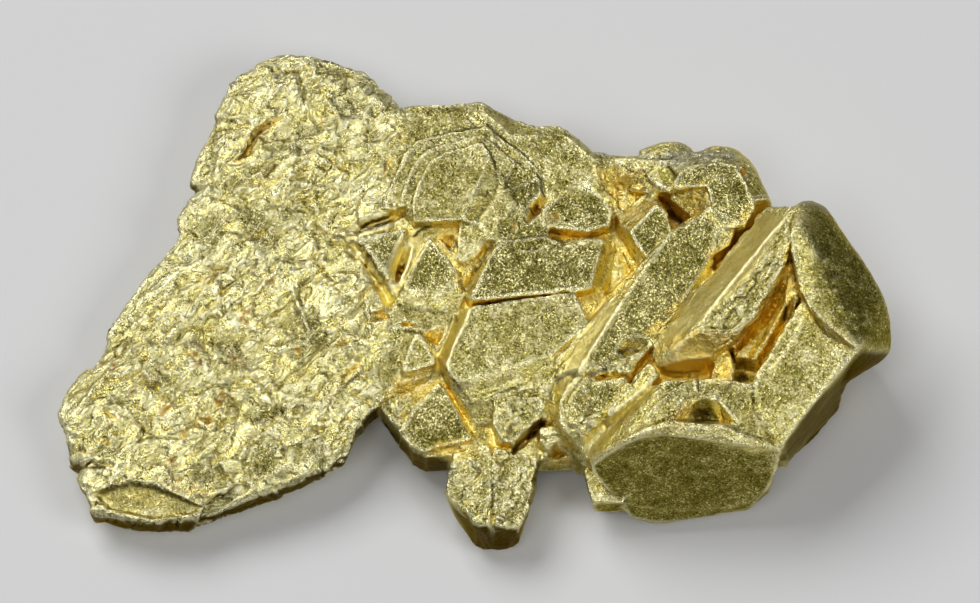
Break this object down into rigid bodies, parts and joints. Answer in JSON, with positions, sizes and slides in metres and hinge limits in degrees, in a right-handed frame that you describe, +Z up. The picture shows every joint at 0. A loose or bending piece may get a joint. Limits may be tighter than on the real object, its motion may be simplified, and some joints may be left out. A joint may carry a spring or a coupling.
{
  "type": "gold crystal",
  "caption": "Natural gold specimen: a thin crumpled leaf that thickens into stacked slab crystals, lying flat.",
  "frame": {"origin": "centre of the bounding box in plan, on the surface that the specimen lies on", "axes": "+X from the thin leaf towards the thick cap, +Z up, -Y towards the steep front face"},
  "size_m": [0.0258, 0.0164, 0.0058],
  "materials": {
    "natural_gold": "matte to satin natural gold, amber in the hollows"
  },
  "bodies": {
    "root": {"gold_crystal": "natural_gold"}
  },
  "joints": []
}
